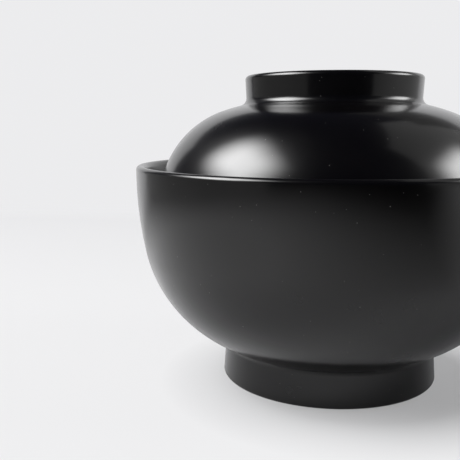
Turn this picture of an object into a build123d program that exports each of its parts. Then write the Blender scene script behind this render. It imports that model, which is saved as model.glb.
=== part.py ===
"""Lacquered soup bowl with a lid: two turned wooden vessels under films of black lacquer.

The bowl stands on its foot ring at z = 0, and every piece is turned about the Z axis.
Each vessel is a wooden core with one film of lacquer for every stretch that is coated
in one go: the outside, the inside, and the hollow of the foot or of the ring handle.
"""

import os
from math import cos, radians, sin, tan

from build123d import *

# Sizes in millimetres, angles in degrees

# Lacquer, ground coats and top coat together
lacquer_thickness = 0.5

# Bowl, outside
bowl_diameter = 130.0
bowl_height = 71.4
lip_outer_round = 1.3
lip_side_height = 1.3
belly_upper_radius = 120.0
belly_upper_sweep = 12.3

# Foot ring under the bowl
foot_diameter = 72.2
foot_top_diameter = 70.6
foot_height = 11.5
foot_cove_radius = 2.0
foot_wall = 4.2
foot_edge_round = 0.8
foot_edge_land = 0.4
foot_recess_depth = 7.5
foot_recess_round = 3.0

# Bowl, inside
lip_inner_round = 1.88
inner_taper = 9.4
taper_end_height = 47.64
floor_height = 14.5
floor_radius = 150.0
floor_sweep = 11.0

# Lid, outside
lid_height = 45.3
lid_seat_depth = 16.4
lid_seat_clearance = 0.3
lid_lip_outer_round = 1.1
skirt_lean = 7.6
skirt_radius = 60.0
skirt_sweep = 15.1
shoulder_radius = 31.2
shoulder_sweep = 47.7
dome_width = 29.55

# Ring handle on top of the lid
ring_height = 9.2
ring_flare = 0.5
ring_cove_radius = 2.5
ring_wall = 3.0
ring_outer_round = 1.3
ring_inner_round = 1.0
ring_recess_depth = 8.3
ring_recess_round = 2.0

# Lid, inside
lid_lip_inner_round = 0.9
lid_cone_taper = 19.5
lid_cone_height = 14.0
lid_ceiling_inset = 1.6
lid_crown_thickness = 4.5

# Places on the bowl, as radius from the axis and height
lip_crown = (bowl_diameter / 2 - lip_outer_round, bowl_height)
lip_inner_end = (
    lip_crown[0] - lip_inner_round * cos(radians(inner_taper)),
    lip_crown[1] - lip_inner_round * (1 - sin(radians(inner_taper))),
)
foot_top = (foot_top_diameter / 2, foot_height)
foot_corner = (foot_diameter / 2, 0)
recess_corner = (foot_corner[0] - foot_wall, 0)
recess_top = (recess_corner[0], foot_recess_depth)
edge_inset = foot_edge_round + foot_edge_land
edge_outer = (foot_corner[0] - edge_inset, 0)
edge_inner = (recess_corner[0] + edge_inset, 0)


def inner_wall_r(height):
    """Radius of the bowl's tapered inner wall at a height."""
    return lip_inner_end[0] - (lip_inner_end[1] - height) * tan(radians(inner_taper))


# Places on the lid, whose rounded edge clears the tapered wall by the seat clearance,
# and whose ring handle and ceiling keep their distance from that edge
lid_bottom = bowl_height - lid_seat_depth
lid_top = lid_bottom + lid_height
seat_offset = (lid_lip_outer_round + lid_seat_clearance) / cos(radians(inner_taper))
lid_crown = (inner_wall_r(lid_bottom + lid_lip_outer_round) - seat_offset, lid_bottom)
lid_lip_inner_end = (
    lid_crown[0] - lid_lip_inner_round * cos(radians(lid_cone_taper)),
    lid_crown[1] + lid_lip_inner_round * (1 - sin(radians(lid_cone_taper))),
)
lid_cone_top = (
    lid_lip_inner_end[0] - lid_cone_height * tan(radians(lid_cone_taper)),
    lid_lip_inner_end[1] + lid_cone_height,
)
ring_base = (lid_crown[0] - dome_width, lid_top - ring_height)
ring_corner = (ring_base[0] + ring_flare, lid_top)
ring_inner_corner = (ring_corner[0] - ring_wall, lid_top)
ring_crown = ((ring_corner[0] + ring_inner_corner[0]) / 2, lid_top)
ring_floor = lid_top - ring_recess_depth
lid_ceiling = (ring_base[0] - lid_ceiling_inset, ring_floor - lid_crown_thickness)


def corner(profile, place):
    """Vertex of a profile that lies nearest to a place."""
    return profile.vertices().sort_by_distance(place)[0]


def film(profile, wood_side):
    """Section of the lacquer under a profile, on the side where the wood is."""
    with BuildSketch() as section:
        with BuildLine():
            add(profile.line)
            offset(amount=lacquer_thickness, side=wood_side, closed=True)
        make_face()
    return section.sketch


def wood(profiles, films, axis_bottom, axis_top):
    """Section of the turned wood: the outline closed along the axis, less its films."""
    with BuildSketch() as section:
        with BuildLine():
            for profile in profiles:
                add(profile.line)
            Line((0, axis_bottom), (0, axis_top))
        make_face()
        add(films, mode=Mode.SUBTRACT)
    return section.sketch


# Profiles of the bowl, each drawn with the wood on its right

# Outside, from the crown of the lip down to the standing edge
with BuildLine() as bowl_outside:
    lip = JernArc(lip_crown, (1, 0), lip_outer_round, -90)
    lip_side = Line(lip @ 1, lip @ 1 - (0, lip_side_height))
    upper_belly = JernArc(lip_side @ 1, lip_side % 1, belly_upper_radius, -belly_upper_sweep)
    TangentArc(upper_belly @ 1, foot_top, tangent=upper_belly % 1)
    Line(foot_top, foot_corner)
    Line(foot_corner, edge_outer)
    fillet(corner(bowl_outside, foot_top), foot_cove_radius)
    fillet(corner(bowl_outside, foot_corner), foot_edge_round)

# Standing edge of the foot
with BuildLine() as foot_edge:
    Line(edge_outer, edge_inner)

# Hollow of the foot, from the standing edge to the axis
with BuildLine() as foot_recess:
    Line(edge_inner, recess_corner)
    Line(recess_corner, recess_top)
    Line(recess_top, (0, foot_recess_depth))
    fillet(corner(foot_recess, recess_corner), foot_edge_round)
    fillet(corner(foot_recess, recess_top), foot_recess_round)

# Inside, from the axis up to the crown of the lip
with BuildLine() as bowl_inside:
    dish = JernArc((0, floor_height), (1, 0), floor_radius, floor_sweep)
    taper_end = (inner_wall_r(taper_end_height), taper_end_height)
    TangentArc(dish @ 1, taper_end, tangent=dish % 1)
    inner_wall = Line(taper_end, lip_inner_end)
    JernArc(inner_wall @ 1, inner_wall % 1, lip_inner_round, inner_taper - 90)

# Profiles of the lid, each drawn with the wood on its left

# Outside, from the crown of the edge up to the top of the ring handle
with BuildLine() as lid_outside:
    edge = JernArc(lid_crown, (1, 0), lid_lip_outer_round, 90 + skirt_lean)
    skirt = JernArc(edge @ 1, edge % 1, skirt_radius, skirt_sweep)
    shoulder = JernArc(skirt @ 1, skirt % 1, shoulder_radius, shoulder_sweep)
    TangentArc(shoulder @ 1, ring_base, tangent=shoulder % 1)
    Line(ring_base, ring_corner)
    Line(ring_corner, ring_crown)
    fillet(corner(lid_outside, ring_base), ring_cove_radius)
    fillet(corner(lid_outside, ring_corner), ring_outer_round)

# Hollow of the ring handle, from its top to the axis
with BuildLine() as ring_recess:
    Line(ring_crown, ring_inner_corner)
    Line(ring_inner_corner, (ring_inner_corner[0], ring_floor))
    Line((ring_inner_corner[0], ring_floor), (0, ring_floor))
    fillet(corner(ring_recess, ring_inner_corner), ring_inner_round)
    fillet(corner(ring_recess, (ring_inner_corner[0], ring_floor)), ring_recess_round)

# Inside, from the axis out and down to the crown of the edge
with BuildLine() as lid_inside:
    ceiling = Line((0, lid_ceiling[1]), lid_ceiling)
    TangentArc(ceiling @ 1, lid_cone_top, tangent=ceiling % 1)
    cone = Line(lid_cone_top, lid_lip_inner_end)
    JernArc(cone @ 1, cone % 1, lid_lip_inner_round, 90 - lid_cone_taper)

# Films of the bowl

outer_film = film(bowl_outside, Side.RIGHT)
edge_film = film(foot_edge, Side.RIGHT)
recess_film = film(foot_recess, Side.RIGHT)
inner_film = film(bowl_inside, Side.RIGHT)

with BuildPart() as bowl_outer_lacquer:
    with BuildSketch(Plane.XZ):
        add(outer_film)
    revolve(axis=Axis.Z)

with BuildPart() as bowl_inner_lacquer:
    with BuildSketch(Plane.XZ):
        add(inner_film)
    revolve(axis=Axis.Z)

with BuildPart() as foot_edge_lacquer:
    with BuildSketch(Plane.XZ):
        add(edge_film)
    revolve(axis=Axis.Z)

with BuildPart() as foot_recess_lacquer:
    with BuildSketch(Plane.XZ):
        add(recess_film)
    revolve(axis=Axis.Z)

# Wooden core of the bowl, foot and all in one turning
with BuildPart() as bowl_wood:
    with BuildSketch(Plane.XZ):
        add(
            wood(
                (bowl_outside, foot_edge, foot_recess, bowl_inside),
                (outer_film, edge_film, recess_film, inner_film),
                foot_recess_depth,
                floor_height,
            )
        )
    revolve(axis=Axis.Z)

# Films of the lid

dome_film = film(lid_outside, Side.LEFT)
ring_film = film(ring_recess, Side.LEFT)
under_film = film(lid_inside, Side.LEFT)

with BuildPart() as lid_outer_lacquer:
    with BuildSketch(Plane.XZ):
        add(dome_film)
    revolve(axis=Axis.Z)

with BuildPart() as ring_recess_lacquer:
    with BuildSketch(Plane.XZ):
        add(ring_film)
    revolve(axis=Axis.Z)

with BuildPart() as lid_inner_lacquer:
    with BuildSketch(Plane.XZ):
        add(under_film)
    revolve(axis=Axis.Z)

# Wooden core of the lid, ring handle and all in one turning
with BuildPart() as lid_wood:
    with BuildSketch(Plane.XZ):
        add(
            wood(
                (lid_outside, ring_recess, lid_inside),
                (dome_film, ring_film, under_film),
                lid_ceiling[1],
                ring_floor,
            )
        )
    revolve(axis=Axis.Z)

# One file for each piece
pieces = {
    "bowl_wood": bowl_wood,
    "bowl_outer_lacquer": bowl_outer_lacquer,
    "bowl_inner_lacquer": bowl_inner_lacquer,
    "foot_edge_lacquer": foot_edge_lacquer,
    "foot_recess_lacquer": foot_recess_lacquer,
    "lid_wood": lid_wood,
    "lid_outer_lacquer": lid_outer_lacquer,
    "lid_inner_lacquer": lid_inner_lacquer,
    "ring_recess_lacquer": ring_recess_lacquer,
}
os.makedirs("parts", exist_ok=True)
for name, piece in pieces.items():
    piece.part.label = name
    export_step(piece.part, f"parts/{name}.step")
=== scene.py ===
"""Looks of the lacquered soup bowl and its lid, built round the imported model.

Sizes are in millimetres and angles in degrees, as a turner would write them; the meshes
are in metres. Every film of lacquer is a profile that is turned about the Z axis.
"""

import logging
import math
from dataclasses import dataclass, field
from enum import Enum
from typing import Any

import bmesh
import bpy
from mathutils import Matrix, Quaternion, Vector


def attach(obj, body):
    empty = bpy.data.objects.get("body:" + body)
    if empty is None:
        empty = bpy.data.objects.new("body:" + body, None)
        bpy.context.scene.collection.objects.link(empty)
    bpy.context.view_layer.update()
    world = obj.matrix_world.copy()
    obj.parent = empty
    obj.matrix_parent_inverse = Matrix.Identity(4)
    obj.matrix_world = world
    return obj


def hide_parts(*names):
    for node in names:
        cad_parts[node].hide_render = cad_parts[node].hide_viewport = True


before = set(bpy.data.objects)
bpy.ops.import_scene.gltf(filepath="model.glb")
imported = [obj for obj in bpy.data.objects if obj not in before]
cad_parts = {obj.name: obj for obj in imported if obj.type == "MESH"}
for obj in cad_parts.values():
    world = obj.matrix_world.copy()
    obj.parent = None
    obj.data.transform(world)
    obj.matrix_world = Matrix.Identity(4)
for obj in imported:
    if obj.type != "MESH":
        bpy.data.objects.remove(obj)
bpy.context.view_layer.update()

LOG = logging.getLogger("soup_bowl")

MM = 0.001
MERGE_DISTANCE = 1e-7
TURNING_STEPS = 224
ARC_STEP = 2.5
LACQUER_THICKNESS = 0.5
COAT_IOR = 1.54
SHARP_ANGLE = 35.0
FACE_MIDDLE = 0.5
NOISE_SPAN = (0.3, 0.7)

Place = tuple[float, float]
Span = tuple[float, float]
Point = tuple[float, float, float]
Colour = tuple[float, float, float]
Socket = bpy.types.NodeSocket


class CoatSide(Enum):
    """Side of a profile on which its coat shows, seen along the way it is drawn."""

    LEFT = 1.0
    RIGHT = -1.0


class Profile:
    """A line drawn in the plane y = 0, stroke by stroke, as radius and height."""

    def __init__(self, start: Place, heading: float, coat: CoatSide) -> None:
        """Puts the pen down.

        Args:
            start: Radius and height of the first point.
            heading: Direction of the first stroke, 0 outwards and 90 up.
            coat: Side on which the lacquer's surface shows.
        """
        self.mesh = bmesh.new()
        self.tip = self.mesh.verts.new((start[0] * MM, 0.0, start[1] * MM))
        self.heading = math.radians(heading)
        self.coat = coat
        self.start = self.tip.co.copy()
        self.first_heading = self.heading

    def line_to(self, place: Place) -> "Profile":
        """Draws a straight stroke.

        Args:
            place: Radius and height of its end.

        Returns:
            The profile, for the next stroke.
        """
        way = self._way_to(place)
        made = bmesh.ops.extrude_vert_indiv(self.mesh, verts=[self.tip])
        self.tip = made["verts"][0]
        bmesh.ops.translate(self.mesh, verts=[self.tip], vec=way)
        self.heading = math.atan2(way.z, way.x)
        return self

    def arc_to(self, place: Place) -> "Profile":
        """Draws an arc that goes on in the direction of the last stroke.

        Args:
            place: Radius and height of its end.

        Returns:
            The profile, for the next stroke.
        """
        way = self._way_to(place)
        turn = math.atan2(way.z, way.x) - self.heading
        turn = math.remainder(turn, math.tau)
        radius = way.length / (2.0 * math.sin(turn))
        left = Vector((-math.sin(self.heading), 0.0, math.cos(self.heading)))
        steps = max(2, math.ceil(math.degrees(abs(2.0 * turn)) / ARC_STEP))
        made = bmesh.ops.spin(
            self.mesh,
            geom=[self.tip],
            cent=self.tip.co + left * radius,
            axis=(0.0, 1.0, 0.0),
            angle=-2.0 * turn,
            steps=steps,
        )
        self.tip = next(g for g in made["geom_last"] if isinstance(g, bmesh.types.BMVert))
        self.heading += 2.0 * turn
        return self

    def turned(self, name: str) -> bpy.types.Object:
        """Turns the line about the Z axis into a film of lacquer.

        Args:
            name: Name of the piece.

        Returns:
            The piece, a closed shell with its coated side on the profile.
        """
        mesh = self.mesh
        bmesh.ops.spin(
            mesh,
            geom=mesh.verts[:] + mesh.edges[:],
            cent=(0.0, 0.0, 0.0),
            axis=(0.0, 0.0, 1.0),
            angle=math.tau,
            steps=TURNING_STEPS,
            use_merge=True,
        )
        bmesh.ops.remove_doubles(mesh, verts=mesh.verts[:], dist=MERGE_DISTANCE)
        bmesh.ops.recalc_face_normals(mesh, faces=mesh.faces[:])
        if not self._coat_faces_out():
            bmesh.ops.reverse_faces(mesh, faces=mesh.faces[:])
        bmesh.ops.solidify(mesh, geom=mesh.faces[:], thickness=LACQUER_THICKNESS * MM)
        data = bpy.data.meshes.new(name)
        mesh.to_mesh(data)
        mesh.free()
        data.shade_smooth()
        data.set_sharp_from_angle(angle=math.radians(SHARP_ANGLE))
        piece = bpy.data.objects.new(name, data)
        bpy.context.scene.collection.objects.link(piece)
        return piece

    def _way_to(self, place: Place) -> Vector:
        """Way from the pen's tip to a place, in metres."""
        return Vector((place[0] * MM, 0.0, place[1] * MM)) - self.tip.co

    def _coat_faces_out(self) -> bool:
        """Whether the turned faces look to the side that the profile names as coated."""
        across, up = -math.sin(self.first_heading), math.cos(self.first_heading)
        wanted = Vector((across, 0.0, up)) * self.coat.value
        first = min(self.mesh.faces, key=self._from_start)
        return first.normal.dot(wanted) > 0.0

    def _from_start(self, face: bmesh.types.BMFace) -> float:
        """Distance of a face from the profile's start."""
        return (face.calc_center_median() - self.start).length


class NodeBoard:
    """Node tree of one material, with short calls to add nodes and to join them."""

    def __init__(self, name: str) -> None:
        """Starts an empty tree with its output node.

        Args:
            name: Name of the material.
        """
        self.material = bpy.data.materials.new(name)
        self.material.use_nodes = True
        self.tree = self.material.node_tree
        self.tree.nodes.clear()
        self.output = self.add("ShaderNodeOutputMaterial")

    def add(
        self, kind: str, values: dict[str, Any] | None = None, **settings: Any
    ) -> bpy.types.Node:
        """Adds a node.

        Args:
            kind: Node type.
            values: Socket values by socket name.
            settings: Properties of the node.

        Returns:
            The node.
        """
        node = self.tree.nodes.new(kind)
        for key, value in settings.items():
            setattr(node, key, value)
        for socket, value in (values or {}).items():
            node.inputs[socket].default_value = value
        return node

    def join(self, source: Socket, target: Socket) -> None:
        """Joins an output to an input."""
        self.tree.links.new(source, target)

    def noise(self, where: Socket, scale: float, detail: float) -> Socket:
        """Adds a noise pattern.

        Args:
            where: Coordinates.
            scale: Cells per metre.
            detail: Octaves.

        Returns:
            Its grey output.
        """
        node = self.add("ShaderNodeTexNoise", {"Scale": scale, "Detail": detail})
        self.join(where, node.inputs["Vector"])
        return node.outputs["Fac"]

    def spread(self, grey: Socket, span: Span, target: Span) -> Socket:
        """Maps a grey value from one span to another and clamps it.

        Args:
            grey: Value to map.
            span: Its lower and upper end.
            target: What these become.

        Returns:
            The mapped value.
        """
        ends = dict(zip(("From Min", "From Max", "To Min", "To Max"), (*span, *target)))
        node = self.add("ShaderNodeMapRange", ends)
        self.join(grey, node.inputs["Value"])
        return node.outputs["Result"]

    def blend(self, factor: Socket, first: Any, second: Any) -> Socket:
        """Blends two colours.

        Args:
            factor: 0 gives the first colour, 1 the second.
            first: Colour or socket.
            second: Colour or socket.

        Returns:
            The blended colour.
        """
        node = self.add("ShaderNodeMix", data_type="RGBA")
        self.join(factor, node.inputs["Factor"])
        for name, value in (("A", first), ("B", second)):
            socket = next(s for s in node.inputs if s.name == name and s.type == "RGBA")
            if isinstance(value, Socket):
                self.join(value, socket)
            else:
                socket.default_value = (*value, 1.0)
        return next(s for s in node.outputs if s.type == "RGBA")

    def relief(self, height: Socket, depth: float, below: Socket | None) -> Socket:
        """Adds a bump.

        Args:
            height: Grey height.
            depth: Depth in millimetres that the whole span of grey stands for.
            below: Normal that the bump sits on, if any.

        Returns:
            The bumped normal.
        """
        node = self.add("ShaderNodeBump", {"Strength": 1.0, "Distance": depth * MM})
        self.join(height, node.inputs["Height"])
        if below is not None:
            self.join(below, node.inputs["Normal"])
        return node.outputs["Normal"]

    def combine(self, operation: str, first: Socket, second: Socket) -> Socket:
        """Combines two values.

        Args:
            operation: Name of the sum.
            first: First value.
            second: Second value.

        Returns:
            The result.
        """
        node = self.add("ShaderNodeMath", operation=operation)
        self.join(first, node.inputs[0])
        self.join(second, node.inputs[1])
        return node.outputs[0]

    def mapped(self, where: Socket, shift: Point, scale: Point) -> Socket:
        """Scales coordinates and then shifts them.

        Args:
            where: Coordinates.
            shift: Shift along each axis.
            scale: Scale along each axis.

        Returns:
            The new coordinates.
        """
        node = self.add("ShaderNodeMapping", {"Location": shift, "Scale": scale})
        self.join(where, node.inputs["Vector"])
        return node.outputs["Vector"]

    def length(self, where: Socket) -> Socket:
        """Distance of the coordinates from their origin."""
        node = self.add("ShaderNodeVectorMath", operation="LENGTH")
        self.join(where, node.inputs[0])
        return node.outputs["Value"]


@dataclass(frozen=True)
class LacquerFinish:
    """Black lacquer, laid on by brush and rubbed to a soft gloss.

    Attributes:
        name: Name of the material.
        black: Colour of a full coat.
        brown: Colour where the coat is thin.
        brown_share: How much of the brown comes through.
        thin_span: Greys of the clouds at which the brown starts and is full.
        roughness: Middle of the soft gloss under the polish.
        haze: How far that gloss varies to either side.
        depth_ior: Index of refraction of the soft gloss.
        polish: Share of the polished skin.
        polish_roughness: Roughness of the polished skin.
        ripple: Depth of the slow unevenness of the coat, in millimetres.
        peel: Depth of the fine skin of the coat, in millimetres.
        rub: Depth of the rubbing rings round the axis, in millimetres.
        dust: Size of a speck of dust, as a share of its cell.
        dust_colour: Colour of the dust.
        dust_dulling: How much rougher a speck is.
        cloud_scale: Clouds of thin and thick coat per metre.
        ripple_scale: Slow waves of the coat per metre.
        skin_scale: Grains of the fine skin per metre.
        rub_scale: Scale of the rubbing rings.
        dust_scale: Cells per metre that may hold a speck.
    """

    name: str
    black: Colour = (0.0009, 0.0007, 0.0009)
    brown: Colour = (0.0040, 0.0027, 0.0026)
    brown_share: float = 0.25
    thin_span: Span = (0.45, 0.8)
    roughness: float = 0.30
    haze: float = 0.03
    depth_ior: float = 1.26
    polish: float = 0.8
    polish_roughness: float = 0.15
    ripple: float = 0.004
    peel: float = 0.0004
    rub: float = 0.0004
    dust: float = 0.04
    dust_colour: Colour = (0.30, 0.29, 0.28)
    dust_dulling: float = 0.5
    cloud_scale: float = 70.0
    ripple_scale: float = 55.0
    skin_scale: float = 1400.0
    rub_scale: float = 190.0
    dust_scale: float = 380.0

    def material(self) -> bpy.types.Material:
        """Builds the finish's nodes.

        Returns:
            The material.
        """
        board = NodeBoard(self.name)
        where = board.add("ShaderNodeTexCoord").outputs["Object"]
        clouds = board.noise(where, self.cloud_scale, detail=3.0)
        skin = board.noise(where, self.skin_scale, detail=2.0)
        ripples = board.noise(where, self.ripple_scale, detail=1.0)
        rings = board.add(
            "ShaderNodeTexWave",
            {"Scale": self.rub_scale, "Distortion": 3.0, "Detail": 2.0, "Detail Scale": 1.5},
            wave_type="RINGS",
            rings_direction="Z",
        )
        board.join(where, rings.inputs["Vector"])
        specks = self._specks(board, where)

        shader = board.add(
            "ShaderNodeBsdfPrincipled",
            {
                "IOR": self.depth_ior,
                "Coat Weight": self.polish,
                "Coat Roughness": self.polish_roughness,
                "Coat IOR": COAT_IOR,
            },
        )
        thin = board.spread(clouds, self.thin_span, (0.0, self.brown_share))
        coat = board.blend(thin, self.black, self.brown)
        colour = board.blend(specks, coat, self.dust_colour)
        board.join(colour, shader.inputs["Base Color"])

        gloss_span = (self.roughness - self.haze, self.roughness + self.haze)
        gloss = board.spread(clouds, NOISE_SPAN, gloss_span)
        dull = board.add("ShaderNodeMath", operation="MULTIPLY_ADD")
        board.join(specks, dull.inputs[0])
        dull.inputs[1].default_value = self.dust_dulling
        board.join(gloss, dull.inputs[2])
        board.join(dull.outputs[0], shader.inputs["Roughness"])

        normal = board.relief(ripples, self.ripple, None)
        normal = board.relief(rings.outputs["Fac"], self.rub, normal)
        normal = board.relief(skin, self.peel, normal)
        board.join(normal, shader.inputs["Normal"])
        board.join(normal, shader.inputs["Coat Normal"])
        board.join(shader.outputs["BSDF"], board.output.inputs["Surface"])
        return board.material

    def _specks(self, board: NodeBoard, where: Socket) -> Socket:
        """Adds sparse specks of dust.

        Args:
            board: Node tree that gets them.
            where: Coordinates.

        Returns:
            A value that is 1 on a speck and 0 beside it.
        """
        cells = board.add(
            "ShaderNodeTexVoronoi", {"Scale": self.dust_scale, "Randomness": 1.0}, feature="F1"
        )
        board.join(where, cells.inputs["Vector"])
        edge = (self.dust, self.dust / 2.0)
        return board.spread(cells.outputs["Distance"], edge, (0.0, 1.0))


@dataclass(frozen=True)
class WoodFinish:
    """Fine-grained turned hardwood, bare under the lacquer.

    Attributes:
        name: Name of the material.
        early: Colour of the soft, early wood.
        late: Colour of the dense, late wood.
        pith: How far the heart of the tree lies beside the axis, in millimetres.
        year_scale: Scale of the year rings.
        pores_per_metre: Pores along and across the grain.
        pore_depth: Depth of a pore, in millimetres.
        pore_span: Greys of the noise at which a pore starts and is full.
        pore_shade: How dark a pore gets.
        pore_tone: Share of the late wood's colour in a pore.
        roughness: Least and greatest roughness.
    """

    name: str = "turned_hardwood"
    early: Colour = (0.56, 0.40, 0.25)
    late: Colour = (0.36, 0.23, 0.13)
    pith: float = 90.0
    year_scale: float = 110.0
    pores_per_metre: Point = (60.0, 1400.0, 1400.0)
    pore_depth: float = 0.03
    pore_span: Span = (0.55, 0.75)
    pore_shade: float = 0.5
    pore_tone: float = 0.5
    roughness: Span = (0.5, 0.72)

    def material(self) -> bpy.types.Material:
        """Builds the finish's nodes.

        Returns:
            The material.
        """
        board = NodeBoard(self.name)
        where = board.add("ShaderNodeTexCoord").outputs["Object"]
        tree = board.mapped(where, (self.pith * MM, 0.0, 0.0), (1.0, 1.0, 1.0))
        years = board.add(
            "ShaderNodeTexWave",
            {"Scale": self.year_scale, "Distortion": 2.5, "Detail": 3.0, "Detail Scale": 0.8},
            wave_type="RINGS",
            rings_direction="X",
            wave_profile="SAW",
        )
        board.join(tree, years.inputs["Vector"])
        along = board.mapped(where, (0.0, 0.0, 0.0), self.pores_per_metre)
        pores = board.noise(along, scale=1.0, detail=4.0)

        shader = board.add("ShaderNodeBsdfPrincipled")
        rings = board.blend(years.outputs["Fac"], self.early, self.late)
        dark = board.spread(pores, self.pore_span, (0.0, self.pore_shade))
        pore = tuple(self.pore_tone * part for part in self.late)
        colour = board.blend(dark, rings, pore)
        board.join(colour, shader.inputs["Base Color"])
        gloss = board.spread(pores, NOISE_SPAN, self.roughness)
        board.join(gloss, shader.inputs["Roughness"])
        board.join(board.relief(pores, self.pore_depth, None), shader.inputs["Normal"])
        board.join(shader.outputs["BSDF"], board.output.inputs["Surface"])
        return board.material


def dress(piece: bpy.types.Object, material: bpy.types.Material) -> None:
    """Gives all slots of a piece one material.

    Args:
        piece: Object to dress.
        material: Its finish.
    """
    if not piece.material_slots:
        piece.data.materials.append(material)
    for slot in piece.material_slots:
        slot.material = material


def set_film(
    piece: bpy.types.Object, node: str, body: str, material: bpy.types.Material
) -> None:
    """Dresses a film of lacquer, lets it ride and puts it in its CAD node's place.

    Args:
        piece: Film of lacquer.
        node: CAD node that it stands for.
        body: Body that carries it.
        material: Its finish.
    """
    dress(piece, material)
    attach(piece, body)
    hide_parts(node)
    LOG.info("film %s stands for %s on %s", piece.name, node, body)


@dataclass
class Bowl:
    """The bowl on its foot ring, with places as radius and height."""

    body: str = "bowl"
    lip_crown: Place = (63.7, 71.4)
    lip_side: Place = (65.0, 70.1)
    belly_top: Place = (65.0, 68.8)
    belly_break: Place = (62.2455, 43.2364)
    cove_top: Place = (36.5989, 12.0392)
    cove_bottom: Place = (35.3998, 10.0657)
    foot_side_end: Place = (36.0405, 0.8555)
    foot_round_end: Place = (35.2424, 0.0)
    edge_outer: Place = (34.9, 0.0)
    edge_inner: Place = (33.1, 0.0)
    recess_round_start: Place = (32.7, 0.0)
    recess_round_end: Place = (31.9, 0.8)
    recess_wall_top: Place = (31.9, 4.5)
    recess_roof_edge: Place = (28.9, 7.5)
    recess_roof_middle: Place = (0.0, 7.5)
    floor_middle: Place = (0.0, 14.5)
    floor_edge: Place = (28.6213, 17.2559)
    wall_bottom: Place = (58.1722, 47.64)
    wall_top: Place = (61.8453, 69.8271)
    outside_finish: LacquerFinish = LacquerFinish("bowl_outside_lacquer")
    inside_finish: LacquerFinish = LacquerFinish("bowl_inside_lacquer", polish_roughness=0.18)
    foot_finish: LacquerFinish = LacquerFinish(
        "worn_foot_lacquer",
        brown_share=0.7,
        roughness=0.45,
        haze=0.08,
        polish=0.3,
        polish_roughness=0.35,
        peel=0.001,
    )

    def outside(self) -> bpy.types.Object:
        """Turns the outside film, from the lip's crown down to the standing edge."""
        line = Profile(self.lip_crown, 0.0, CoatSide.LEFT)
        line.arc_to(self.lip_side).line_to(self.belly_top)
        line.arc_to(self.belly_break).arc_to(self.cove_top)
        line.arc_to(self.cove_bottom).line_to(self.foot_side_end)
        line.arc_to(self.foot_round_end).line_to(self.edge_outer)
        return line.turned("bowl_outer_coat")

    def standing_edge(self) -> bpy.types.Object:
        """Turns the film on the foot's standing edge."""
        line = Profile(self.edge_outer, 180.0, CoatSide.LEFT).line_to(self.edge_inner)
        return line.turned("foot_edge_coat")

    def recess(self) -> bpy.types.Object:
        """Turns the film in the hollow of the foot."""
        line = Profile(self.edge_inner, 180.0, CoatSide.LEFT)
        line.line_to(self.recess_round_start).arc_to(self.recess_round_end)
        line.line_to(self.recess_wall_top).arc_to(self.recess_roof_edge)
        line.line_to(self.recess_roof_middle)
        return line.turned("foot_recess_coat")

    def inside(self) -> bpy.types.Object:
        """Turns the inside film, from the floor's middle up to the lip's crown."""
        line = Profile(self.floor_middle, 0.0, CoatSide.LEFT)
        line.arc_to(self.floor_edge).arc_to(self.wall_bottom)
        line.line_to(self.wall_top).arc_to(self.lip_crown)
        return line.turned("bowl_inner_coat")

    def build(self, wood: bpy.types.Material) -> None:
        """Builds and dresses the bowl.

        Args:
            wood: Finish of the core.
        """
        dress(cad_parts["bowl_wood"], wood)
        LOG.info("core bowl_wood dressed")
        outside = self.outside_finish.material()
        inside = self.inside_finish.material()
        foot = self.foot_finish.material()
        set_film(self.outside(), "bowl_outer_lacquer", self.body, outside)
        set_film(self.inside(), "bowl_inner_lacquer", self.body, inside)
        set_film(self.standing_edge(), "foot_edge_lacquer", self.body, foot)
        set_film(self.recess(), "foot_recess_lacquer", self.body, inside)


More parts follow.
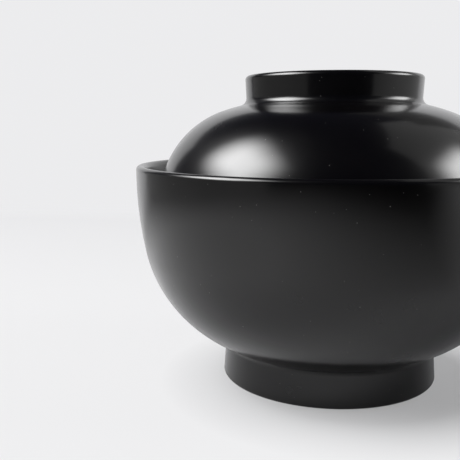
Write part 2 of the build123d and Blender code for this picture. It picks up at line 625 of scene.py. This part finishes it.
@dataclass
class Lid:
    """The domed lid with its ring handle, with places as radius and height."""

    body: str = "lid"
    edge_crown: Place = (58.151, 55.0)
    edge_side: Place = (59.2413, 56.2455)
    skirt_top: Place = (55.1207, 71.4645)
    shoulder_end: Place = (36.8036, 88.8164)
    cove_start: Place = (30.6294, 90.6503)
    cove_end: Place = (28.7161, 93.2171)
    ring_side_top: Place = (29.0265, 98.9295)
    ring_round_end: Place = (27.7284, 100.3)
    ring_crown: Place = (27.601, 100.3)
    recess_round_start: Place = (27.101, 100.3)
    recess_round_end: Place = (26.101, 99.3)
    recess_wall_bottom: Place = (26.101, 94.0)
    recess_floor_edge: Place = (24.101, 92.0)
    recess_floor_middle: Place = (0.0, 92.0)
    ceiling_middle: Place = (0.0, 87.5)
    ceiling_edge: Place = (27.001, 87.5)
    cone_top: Place = (52.345, 69.5996)
    cone_bottom: Place = (57.3026, 55.5996)
    outside_finish: LacquerFinish = LacquerFinish("lid_outside_lacquer")
    inside_finish: LacquerFinish = LacquerFinish("lid_inside_lacquer", polish_roughness=0.18)

    def outside(self) -> bpy.types.Object:
        """Turns the outside film, from the edge up over the dome to the ring's top."""
        line = Profile(self.edge_crown, 0.0, CoatSide.RIGHT)
        line.arc_to(self.edge_side).arc_to(self.skirt_top).arc_to(self.shoulder_end)
        line.arc_to(self.cove_start).arc_to(self.cove_end).line_to(self.ring_side_top)
        line.arc_to(self.ring_round_end).line_to(self.ring_crown)
        return line.turned("lid_outer_coat")

    def recess(self) -> bpy.types.Object:
        """Turns the film in the hollow of the ring handle."""
        line = Profile(self.ring_crown, 180.0, CoatSide.RIGHT)
        line.line_to(self.recess_round_start).arc_to(self.recess_round_end)
        line.line_to(self.recess_wall_bottom).arc_to(self.recess_floor_edge)
        line.line_to(self.recess_floor_middle)
        return line.turned("ring_recess_coat")

    def inside(self) -> bpy.types.Object:
        """Turns the film on the underside, from the ceiling's middle to the edge."""
        line = Profile(self.ceiling_middle, 0.0, CoatSide.RIGHT)
        line.line_to(self.ceiling_edge).arc_to(self.cone_top)
        line.line_to(self.cone_bottom).arc_to(self.edge_crown)
        return line.turned("lid_inner_coat")

    def build(self, wood: bpy.types.Material) -> None:
        """Builds and dresses the lid.

        Args:
            wood: Finish of the core.
        """
        dress(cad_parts["lid_wood"], wood)
        LOG.info("core lid_wood dressed")
        outside = self.outside_finish.material()
        inside = self.inside_finish.material()
        set_film(self.outside(), "lid_outer_lacquer", self.body, outside)
        set_film(self.recess(), "ring_recess_lacquer", self.body, outside)
        set_film(self.inside(), "lid_inner_lacquer", self.body, inside)


@dataclass(frozen=True)
class Softbox:
    """A soft lamp that looks at the bowl.

    Attributes:
        name: Name of the lamp.
        azimuth: Where it stands: 0 behind the bowl, -90 on its left.
        elevation: How high it stands.
        distance: How far away, in metres.
        width: Width in metres.
        height: Height in metres.
        radiance: Brightness of its face, where 1 is white.
        fade: Share of the width and height, from each edge, over which it fades out.
        roll: Turn about its own axis.
    """

    name: str
    azimuth: float
    elevation: float
    distance: float
    width: float
    height: float
    radiance: float
    fade: float = 0.25
    roll: float = 0.0

    def build(self, aim: Vector) -> None:
        """Sets the lamp up.

        Args:
            aim: Point that it looks at.
        """
        across = math.radians(self.azimuth)
        rise = math.radians(self.elevation)
        way = Vector(
            (
                math.sin(across) * math.cos(rise),
                math.cos(across) * math.cos(rise),
                math.sin(rise),
            )
        )
        data = bpy.data.lights.new(self.name, "AREA")
        data.shape = "RECTANGLE"
        data.size = self.width
        data.size_y = self.height
        data.energy = self.radiance * math.pi * self.width * self.height
        self._fade_out(data)
        lamp = bpy.data.objects.new(self.name, data)
        lamp.location = aim + way * self.distance
        turn = Quaternion((0.0, 0.0, 1.0), math.radians(self.roll))
        lamp.rotation_euler = (way.to_track_quat("Z", "Y") @ turn).to_euler()
        bpy.context.scene.collection.objects.link(lamp)

    def _fade_out(self, data: bpy.types.AreaLight) -> None:
        """Lets the lamp's face fade out to its edges.

        Args:
            data: Lamp.
        """
        data.use_nodes = True
        tree = data.node_tree
        face = tree.nodes.new("ShaderNodeNewGeometry")
        parts = tree.nodes.new("ShaderNodeSeparateXYZ")
        tree.links.new(face.outputs["Parametric"], parts.inputs["Vector"])
        level = None
        for axis in ("X", "Y"):
            edge = tree.nodes.new("ShaderNodeMath")
            edge.operation = "PINGPONG"
            edge.inputs[1].default_value = FACE_MIDDLE
            tree.links.new(parts.outputs[axis], edge.inputs[0])
            ramp = tree.nodes.new("ShaderNodeMapRange")
            ramp.interpolation_type = "SMOOTHSTEP"
            ramp.inputs["From Max"].default_value = self.fade
            tree.links.new(edge.outputs[0], ramp.inputs["Value"])
            if level is None:
                level = ramp.outputs["Result"]
                continue
            both = tree.nodes.new("ShaderNodeMath")
            both.operation = "MULTIPLY"
            tree.links.new(level, both.inputs[0])
            tree.links.new(ramp.outputs["Result"], both.inputs[1])
            level = both.outputs[0]
        tree.links.new(level, tree.nodes["Emission"].inputs["Strength"])


@dataclass(frozen=True)
class PaintedReflectionCard:
    """An upright glowing card beside the bowl, a painted reflection that only the lacquer's
    gloss sees.

    Attributes:
        name: Name of the card.
        azimuth: Where it stands: 0 behind the bowl, -90 on its left.
        distance: How far away, in metres.
        width: Width in metres.
        top: Height of its upper edge above the floor, in metres.
        radiance: Brightness, where 1 is white.
    """

    name: str
    azimuth: float
    distance: float
    width: float
    top: float
    radiance: float

    def shape(self) -> bmesh.types.BMesh:
        """Builds the card's mesh.

        Returns:
            A rectangle that stands on the floor and faces the bowl.
        """
        mesh = bmesh.new()
        bmesh.ops.create_grid(mesh, x_segments=1, y_segments=1, size=0.5)
        corners = mesh.verts[:]
        bmesh.ops.scale(mesh, verts=corners, vec=(self.width, self.top, 1.0))
        upright = Matrix.Rotation(math.pi / 2, 3, "X")
        bmesh.ops.rotate(mesh, verts=corners, cent=(0.0, 0.0, 0.0), matrix=upright)
        bmesh.ops.translate(mesh, verts=corners, vec=(0.0, self.distance, self.top / 2))
        turn = Matrix.Rotation(math.radians(-self.azimuth), 3, "Z")
        bmesh.ops.rotate(mesh, verts=corners, cent=(0.0, 0.0, 0.0), matrix=turn)
        return mesh


@dataclass
class Studio:
    """Floor, backdrop, painted reflection cards, lamps, room light and camera, in metres.

    Attributes:
        aim: Place on the bowl that the lamps look at, in millimetres.
        floor_radius: Radius of the floor.
        floor_segments: Straight edges round the floor.
        floor_colour: Colour of the matt floor.
        floor_white: White that the camera sees in the floor round the bowl.
        white: White that the camera sees behind the bowl.
        white_in_gloss: Strength of both whites in a gloss.
        backdrop_near: How far behind the bowl the backdrop leaves the floor.
        backdrop_bend: Radius of its bend.
        backdrop_steps: Straight strips in the bend.
        backdrop_top: Height of its upper edge.
        backdrop_left: Where it ends on the left.
        backdrop_right: Where it ends on the right.
        backdrop_lift: Gap between the backdrop's foot and the floor.
        glow_start: How far behind the axis the floor starts to turn into the backdrop.
        pool_shift: Shift that puts the painted pool of light on the floor at the origin.
        pool_squeeze: Scale that makes that pool round.
        pool_fade: Radii at which the pool is full and gone.
        pool_gap: Radii round the bowl at which the gloss sees the matt floor and the painted
            pool.
        behind_way: Direction in which the floor behind the bowl lies.
        behind_fade: Distances that way at which the gloss starts to see the full white.
        shadow_shift: Shift that puts the middle of the painted shade round the bowl at the
            origin.
        shadow_core: Radius of the dark core of that painted shade.
        shadow_end: Radius at which the even white takes over.
        core_white: Share of the even white in the core.
        near_white: Share of the even white beyond the shadow.
        room_light: Light of the room from all sides.
        camera_place: Where the camera stands, in millimetres.
        camera_yaw: Its turn to the right, in radians.
        camera_pitch: Its tilt down, in radians.
        camera_clip: Nearest distance that it sees.
        focal_pixels: Focal length in pixels.
        image_pixels: Width of the image in pixels.
        sensor: Width of the sensor, in millimetres.
        lamps: Soft lamps.
        cards: Glowing cards, painted reflections that only the gloss sees.
    """

    aim: Place = (0.0, 60.0)
    floor_radius: float = 2.5
    floor_segments: int = 96
    floor_colour: Colour = (0.50, 0.50, 0.505)
    floor_white: Colour = (0.93, 0.93, 0.94)
    white: Colour = (0.84, 0.84, 0.853)
    white_in_gloss: float = 0.92
    backdrop_near: float = 0.42
    backdrop_bend: float = 0.20
    backdrop_steps: int = 24
    backdrop_top: float = 0.50
    backdrop_left: float = -0.74
    backdrop_right: float = 1.20
    backdrop_lift: float = 0.001
    glow_start: float = 0.06
    pool_shift: Point = (0.2025, 0.06, 0.0)
    pool_squeeze: Point = (1.35, 1.0, 1.0)
    pool_fade: Span = (0.14, 0.70)
    pool_gap: Span = (0.07, 0.13)
    behind_way: Point = (0.6, 1.0, 0.0)
    behind_fade: Span = (-0.10, 0.10)
    shadow_shift: Point = (-0.009, 0.004, 0.0)
    shadow_core: float = 0.040
    shadow_end: float = 0.066
    core_white: float = 0.27
    near_white: float = 0.80
    room_light: Colour = (0.018, 0.019, 0.030)
    camera_place: Point = (0.0, -237.603, 85.309)
    camera_yaw: float = -0.144
    camera_pitch: float = 0.153
    camera_clip: float = 0.01
    focal_pixels: float = 700.0
    image_pixels: float = 460.0
    sensor: float = 36.0
    lamps: tuple[Softbox, ...] = field(
        default_factory=lambda: (
            Softbox(
                "window_lamp",
                azimuth=-107.0,
                elevation=40.2,
                distance=1.35,
                width=1.62,
                height=1.26,
                radiance=14.4,
                fade=0.42,
                roll=-18.0,
            ),
            Softbox(
                "right_lamp",
                azimuth=84.0,
                elevation=26.0,
                distance=0.80,
                width=0.64,
                height=0.51,
                radiance=8.7,
                fade=0.40,
            ),
        )
    )
    # Painted reflections: glowing cards that stand in for the room's walls in the lacquer's
    # gloss and light nothing.
    cards: tuple[PaintedReflectionCard, ...] = field(
        default_factory=lambda: (
            PaintedReflectionCard(
                "left_painted_reflection",
                azimuth=-103.0,
                distance=0.42,
                width=0.86,
                top=0.17,
                radiance=0.245,
            ),
            PaintedReflectionCard(
                "right_painted_reflection",
                azimuth=75.0,
                distance=0.80,
                width=1.40,
                top=0.50,
                radiance=0.36,
            ),
            PaintedReflectionCard(
                "right_wall_painted_reflection",
                azimuth=72.0,
                distance=0.90,
                width=1.51,
                top=2.30,
                radiance=0.37,
            ),
            PaintedReflectionCard(
                "right_end_painted_reflection",
                azimuth=122.0,
                distance=0.95,
                width=0.30,
                top=0.30,
                radiance=0.34,
            ),
            PaintedReflectionCard(
                "back_wall_painted_reflection",
                azimuth=22.0,
                distance=1.00,
                width=0.85,
                top=1.30,
                radiance=0.10,
            ),
        )
    )

    def build_lamps(self) -> None:
        """Sets up the lamps."""
        for lamp in self.lamps:
            lamp.build(Vector((self.aim[0] * MM, 0.0, self.aim[1] * MM)))

    def build_room(self) -> None:
        """Sets up the dim light of the room, which looks pale to the camera."""
        world = bpy.data.worlds.new("room")
        world.use_nodes = True
        tree = world.node_tree
        room = tree.nodes["Background"]
        room.inputs["Color"].default_value = (*self.room_light, 1.0)
        pale = tree.nodes.new("ShaderNodeBackground")
        pale.inputs["Color"].default_value = (*self.white, 1.0)
        path = tree.nodes.new("ShaderNodeLightPath")
        seen = tree.nodes.new("ShaderNodeMath")
        seen.operation = "MAXIMUM"
        tree.links.new(path.outputs["Is Camera Ray"], seen.inputs[0])
        tree.links.new(path.outputs["Is Transmission Ray"], seen.inputs[1])
        mix = tree.nodes.new("ShaderNodeMixShader")
        tree.links.new(seen.outputs[0], mix.inputs["Fac"])
        tree.links.new(room.outputs["Background"], mix.inputs[1])
        tree.links.new(pale.outputs["Background"], mix.inputs[2])
        tree.links.new(mix.outputs["Shader"], tree.nodes["World Output"].inputs["Surface"])
        bpy.context.scene.world = world

    def build_floor(self) -> None:
        """Lays the pale floor, which turns into the white of the backdrop behind the bowl."""
        mesh = bmesh.new()
        bmesh.ops.create_circle(
            mesh, cap_ends=True, segments=self.floor_segments, radius=self.floor_radius
        )
        board = NodeBoard("pale_floor")
        where = board.add("ShaderNodeTexCoord").outputs["Object"]
        parts = board.add("ShaderNodeSeparateXYZ")
        board.join(where, parts.inputs["Vector"])
        # Painted shade: round the bowl the camera sees less of the even white and more of the
        # darker lit matt floor, so the floor darkens there beyond its real shadow; the middle
        # lies off to the bowl's right front.
        away = board.length(board.mapped(where, self.shadow_shift, (1.0, 1.0, 1.0)))
        shadow = (self.shadow_core, self.shadow_end)
        near = board.spread(away, shadow, (self.core_white, self.near_white))
        glow = (self.glow_start, self.backdrop_near)
        far = board.spread(parts.outputs["Y"], glow, (0.0, 1.0))
        open_floor = board.spread(away, self.pool_gap, (0.0, 1.0))
        tint = board.blend(far, self.floor_white, self.white)
        even = board.combine("MAXIMUM", near, far)
        mirrored = board.combine("MAXIMUM", far, open_floor)
        pool = self._painted_light_pool(board, where)
        self._finish_stage(board, self.floor_colour, tint, even, mirrored, pool)
        self._stage_piece("floor", mesh, board.material)

    def _painted_light_pool(self, board: NodeBoard, where: Socket) -> Socket:
        """Adds the painted pool of light that the lacquer mirrors in the floor; away from the
        pool it fades to painted dark, and it stays white behind the bowl.

        Args:
            board: Node tree of the floor.
            where: Coordinates.

        Returns:
            Share of the white that is left in a gloss.
        """
        apart = board.length(board.mapped(where, self.pool_shift, self.pool_squeeze))
        lit = board.spread(apart, self.pool_fade, (1.0, 0.0))
        back = board.add("ShaderNodeVectorMath", operation="DOT_PRODUCT")
        board.join(where, back.inputs[0])
        back.inputs[1].default_value = self.behind_way
        behind = board.spread(back.outputs["Value"], self.behind_fade, (0.0, 1.0))
        return board.combine("MAXIMUM", board.combine("MULTIPLY", lit, lit), behind)

    def build_backdrop(self) -> None:
        """Hangs the white backdrop behind the bowl, with a bend down to the floor."""
        mesh = bmesh.new()
        sides = (self.backdrop_left, self.backdrop_right)
        ends = [mesh.verts.new((x, self.backdrop_near, self.backdrop_lift)) for x in sides]
        bend = bmesh.ops.spin(
            mesh,
            geom=[*ends, mesh.edges.new(ends)],
            cent=(0.0, self.backdrop_near, self.backdrop_lift + self.backdrop_bend),
            axis=(1.0, 0.0, 0.0),
            angle=math.pi / 2,
            steps=self.backdrop_steps,
        )
        top = [g for g in bend["geom_last"] if isinstance(g, bmesh.types.BMEdge)]
        wall = bmesh.ops.extrude_edge_only(mesh, edges=top)
        raised = [g for g in wall["geom"] if isinstance(g, bmesh.types.BMVert)]
        rise = self.backdrop_top - self.backdrop_bend
        bmesh.ops.translate(mesh, verts=raised, vec=(0.0, 0.0, rise))
        board = NodeBoard("white_backdrop")
        self._finish_stage(board, self.white)
        self._stage_piece("backdrop", mesh, board.material)

    def build_painted_reflections(self) -> None:
        """Stands up the cards, glowing sheets that paint reflections into the lacquer's gloss
        and light nothing else.
        """
        for card in self.cards:
            board = NodeBoard(card.name)
            # Painted reflection: the card glows, but only the gloss sees it.
            shader = board.add("ShaderNodeEmission", {"Strength": card.radiance})
            board.join(shader.outputs["Emission"], board.output.inputs["Surface"])
            piece = self._stage_piece(card.name, card.shape(), board.material)
            piece.visible_camera = False
            piece.visible_diffuse = False
            piece.visible_shadow = False
            piece.visible_transmission = False

    def build_camera(self) -> None:
        """Sets the camera up where the photograph was taken from."""
        across, down = self.camera_yaw, self.camera_pitch
        ahead = Vector(
            (
                math.sin(across) * math.cos(down),
                math.cos(across) * math.cos(down),
                -math.sin(down),
            )
        )
        data = bpy.data.cameras.new("camera")
        data.sensor_width = self.sensor
        data.lens = self.focal_pixels / self.image_pixels * self.sensor
        data.clip_start = self.camera_clip
        camera = bpy.data.objects.new("camera", data)
        camera.location = Vector(self.camera_place) * MM
        camera.rotation_euler = ahead.to_track_quat("-Z", "Y").to_euler()
        bpy.context.scene.collection.objects.link(camera)
        bpy.context.scene.camera = camera

    def build(self) -> None:
        """Sets up the whole studio."""
        bpy.context.scene.view_settings.view_transform = "Standard"
        self.build_camera()
        self.build_floor()
        self.build_backdrop()
        self.build_painted_reflections()
        self.build_lamps()
        self.build_room()
        LOG.info("studio with %d lamps", len(self.lamps))

    def _finish_stage(
        self,
        board: NodeBoard,
        colour: Colour,
        tint: Socket | None = None,
        even: Socket | None = None,
        mirrored: Socket | None = None,
        pool: Socket | None = None,
    ) -> None:
        """Gives the floor or the backdrop its finish.

        Seen straight or in a gloss, the backdrop is an even white; all other light meets a
        matt surface. The floor round the bowl shows more of the matt surface, so it keeps its
        real shadow and darkens besides as painted shade, and in a gloss its white is a painted
        pool of light.

        Args:
            board: Node tree to fill.
            colour: Colour of the matt surface.
            tint: Colour of the even white, or none for the backdrop's.
            even: Share of the even white for the camera, or none for all of it.
            mirrored: Share of the even white in a gloss, or none for all of it.
            pool: Share of that white which is left in a gloss, a painted pool of light, or
                none for all of it.
        """
        matt = board.add("ShaderNodeBsdfDiffuse", {"Color": (*colour, 1.0)})
        white = board.add("ShaderNodeEmission", {"Color": (*self.white, 1.0)})
        if tint is not None:
            board.join(tint, white.inputs["Color"])
        path = board.add("ShaderNodeLightPath")
        mirror, through = path.outputs["Is Glossy Ray"], path.outputs["Is Transmission Ray"]
        gloss = board.combine("MAXIMUM", mirror, through)
        strength = board.spread(gloss, (0.0, 1.0), (1.0, self.white_in_gloss))
        # Painted light: in a gloss the floor's white glows only as strongly as the painted
        # pool allows.
        if pool is not None:
            dim = board.combine("SUBTRACT", gloss, board.combine("MULTIPLY", gloss, pool))
            left = board.spread(dim, (0.0, 1.0), (1.0, 0.0))
            strength = board.combine("MULTIPLY", strength, left)
        board.join(strength, white.inputs["Strength"])
        seen = path.outputs["Is Camera Ray"]
        if even is not None:
            seen = board.combine("MULTIPLY", seen, even)
        if mirrored is not None:
            gloss = board.combine("MULTIPLY", gloss, mirrored)
        mix = board.add("ShaderNodeMixShader")
        board.join(board.combine("MAXIMUM", seen, gloss), mix.inputs["Fac"])
        board.join(matt.outputs["BSDF"], mix.inputs[1])
        board.join(white.outputs["Emission"], mix.inputs[2])
        board.join(mix.outputs["Shader"], board.output.inputs["Surface"])

    def _stage_piece(
        self, name: str, mesh: bmesh.types.BMesh, material: bpy.types.Material
    ) -> bpy.types.Object:
        """Makes a piece of the stage.

        Args:
            name: Name of the piece.
            mesh: Its shape, which is used up.
            material: Its finish.

        Returns:
            The piece.
        """
        data = bpy.data.meshes.new(name)
        mesh.to_mesh(data)
        mesh.free()
        data.shade_smooth()
        piece = bpy.data.objects.new(name, data)
        bpy.context.scene.collection.objects.link(piece)
        dress(piece, material)
        return piece


def main() -> None:
    """Builds the bowl, the lid and the studio in order."""
    logging.basicConfig(level=logging.INFO, format="%(name)s: %(message)s")
    wood = WoodFinish().material()
    Bowl().build(wood)
    Lid().build(wood)
    Studio().build()


if __name__ == "__main__":
    main()
